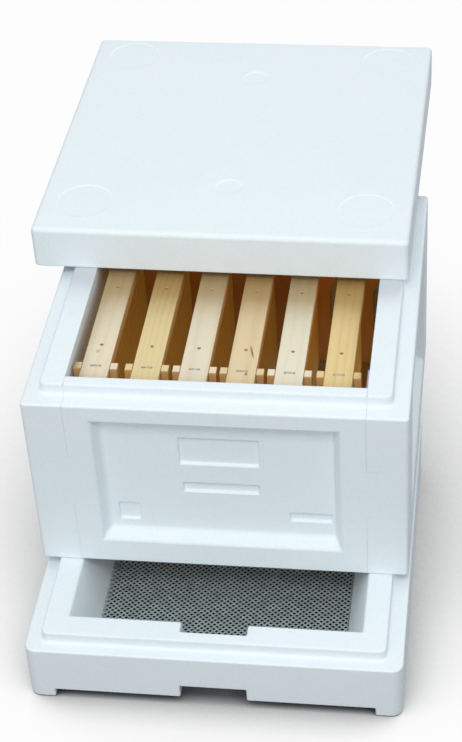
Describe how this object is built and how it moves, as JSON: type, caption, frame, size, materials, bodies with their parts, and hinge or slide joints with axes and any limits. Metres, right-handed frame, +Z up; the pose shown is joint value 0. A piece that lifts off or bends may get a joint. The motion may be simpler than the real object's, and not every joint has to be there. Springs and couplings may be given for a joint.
{
  "type": "nuc box",
  "caption": "Square white foam mating nuc for bees: meshed floor with an entrance, finger-jointed box with hanging wooden frames, and a roof, shown opened in steps.",
  "frame": {"origin": "on the ground in the middle of the front left foot", "axes": "+X to the right across the frames, +Y from the entrance to the back, +Z up"},
  "size_m": [0.3151, 0.5601, 0.2705],
  "materials": {
    "foam": "white expanded polystyrene with a fine moulded bead skin",
    "mesh_steel": "dull grey metal mesh with diamond openings",
    "wax": "brown beeswax foundation embossed with cells",
    "staple_steel": "bright staple wire",
    "wood_1": "planed bare softwood",
    "wood_2": "planed bare softwood",
    "wood_3": "planed bare softwood",
    "wood_4": "planed bare softwood",
    "wood_5": "planed bare softwood",
    "wood_6": "planed bare softwood"
  },
  "bodies": {
    "floor": {"floor_tray": "foam", "floor_mesh": "mesh_steel"},
    "box": {"front_wall": "foam", "back_wall": "foam", "left_wall": "foam", "right_wall": "foam"},
    "roof": {"roof": "foam"},
    "frame_1": {"frame_1_top_bar": "wood_1", "frame_1_front_side_bar": "wood_1", "frame_1_rear_side_bar": "wood_1", "frame_1_bottom_bar": "wood_1", "frame_1_foundation": "wax", "frame_1_staples": "staple_steel"},
    "frame_2": {"frame_2_top_bar": "wood_2", "frame_2_front_side_bar": "wood_2", "frame_2_rear_side_bar": "wood_2", "frame_2_bottom_bar": "wood_2", "frame_2_foundation": "wax", "frame_2_staples": "staple_steel"},
    "frame_3": {"frame_3_top_bar": "wood_3", "frame_3_front_side_bar": "wood_3", "frame_3_rear_side_bar": "wood_3", "frame_3_bottom_bar": "wood_3", "frame_3_foundation": "wax", "frame_3_staples": "staple_steel"},
    "frame_4": {"frame_4_top_bar": "wood_4", "frame_4_front_side_bar": "wood_4", "frame_4_rear_side_bar": "wood_4", "frame_4_bottom_bar": "wood_4", "frame_4_foundation": "wax", "frame_4_staples": "staple_steel"},
    "frame_5": {"frame_5_top_bar": "wood_5", "frame_5_front_side_bar": "wood_5", "frame_5_rear_side_bar": "wood_5", "frame_5_bottom_bar": "wood_5", "frame_5_foundation": "wax", "frame_5_staples": "staple_steel"},
    "frame_6": {"frame_6_top_bar": "wood_6", "frame_6_front_side_bar": "wood_6", "frame_6_rear_side_bar": "wood_6", "frame_6_bottom_bar": "wood_6", "frame_6_foundation": "wax", "frame_6_staples": "staple_steel"}
  },
  "joints": [
    {"name": "box_lift", "type": "slide", "parent": "floor", "child": "box", "axis": [0, 0, 1], "range_m": [0, 0.15]},
    {"name": "roof_lift", "type": "slide", "parent": "box", "child": "roof", "axis": [0, 0, 1], "range_m": [0, 0.25]},
    {"name": "frame_1_lift", "type": "slide", "parent": "box", "child": "frame_1", "axis": [0, 0, 1], "range_m": [0, 0.0065]},
    {"name": "frame_2_lift", "type": "slide", "parent": "box", "child": "frame_2", "axis": [0, 0, 1], "range_m": [0, 0.0065]},
    {"name": "frame_3_lift", "type": "slide", "parent": "box", "child": "frame_3", "axis": [0, 0, 1], "range_m": [0, 0.0065]},
    {"name": "frame_4_lift", "type": "slide", "parent": "box", "child": "frame_4", "axis": [0, 0, 1], "range_m": [0, 0.0065]},
    {"name": "frame_5_lift", "type": "slide", "parent": "box", "child": "frame_5", "axis": [0, 0, 1], "range_m": [0, 0.0065]},
    {"name": "frame_6_lift", "type": "slide", "parent": "box", "child": "frame_6", "axis": [0, 0, 1], "range_m": [0, 0.0065]}
  ]
}
